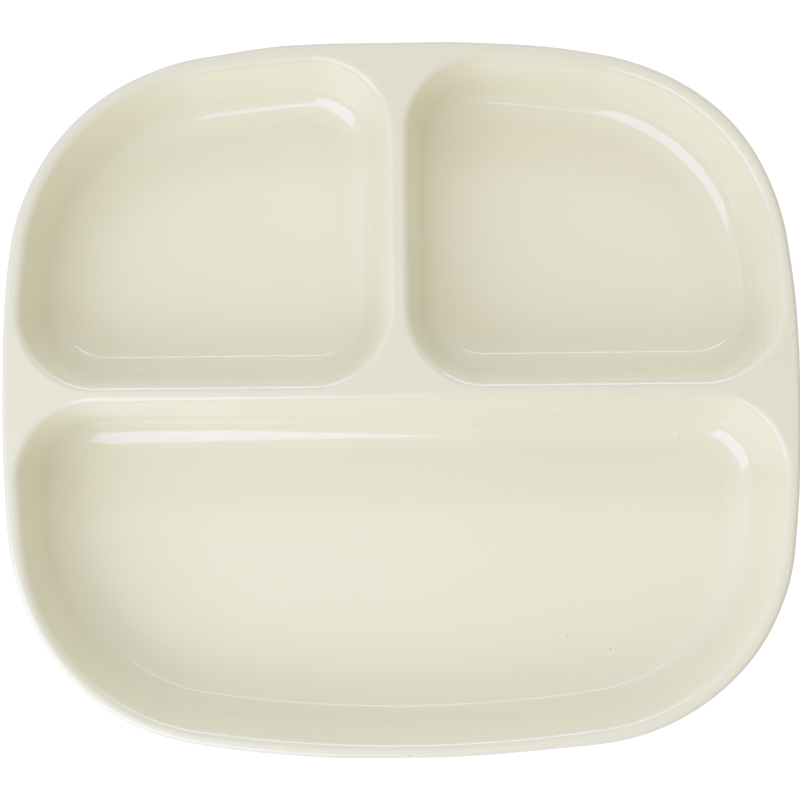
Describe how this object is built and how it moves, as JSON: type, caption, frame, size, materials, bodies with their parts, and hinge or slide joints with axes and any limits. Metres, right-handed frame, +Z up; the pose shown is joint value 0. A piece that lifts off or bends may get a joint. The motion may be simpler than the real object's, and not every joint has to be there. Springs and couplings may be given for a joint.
{
  "type": "divided compartment plate",
  "caption": "Shallow rounded-rectangular plate with small wells along the back and a long well at the front, parted by a T of low ridges.",
  "frame": {"origin": "on the table, under the middle of the plate", "axes": "+Z up out of the wells, +X to the right, -Y to the front, where the long well is"},
  "size_m": [0.254, 0.228, 0.029],
  "materials": {
    "clay": "matt, unglazed",
    "glaze": "gloss"
  },
  "bodies": {
    "root": {"plate_body": "clay", "glaze_coat": "glaze", "left_base_glaze": "glaze", "right_base_glaze": "glaze", "front_base_glaze": "glaze"}
  },
  "joints": []
}
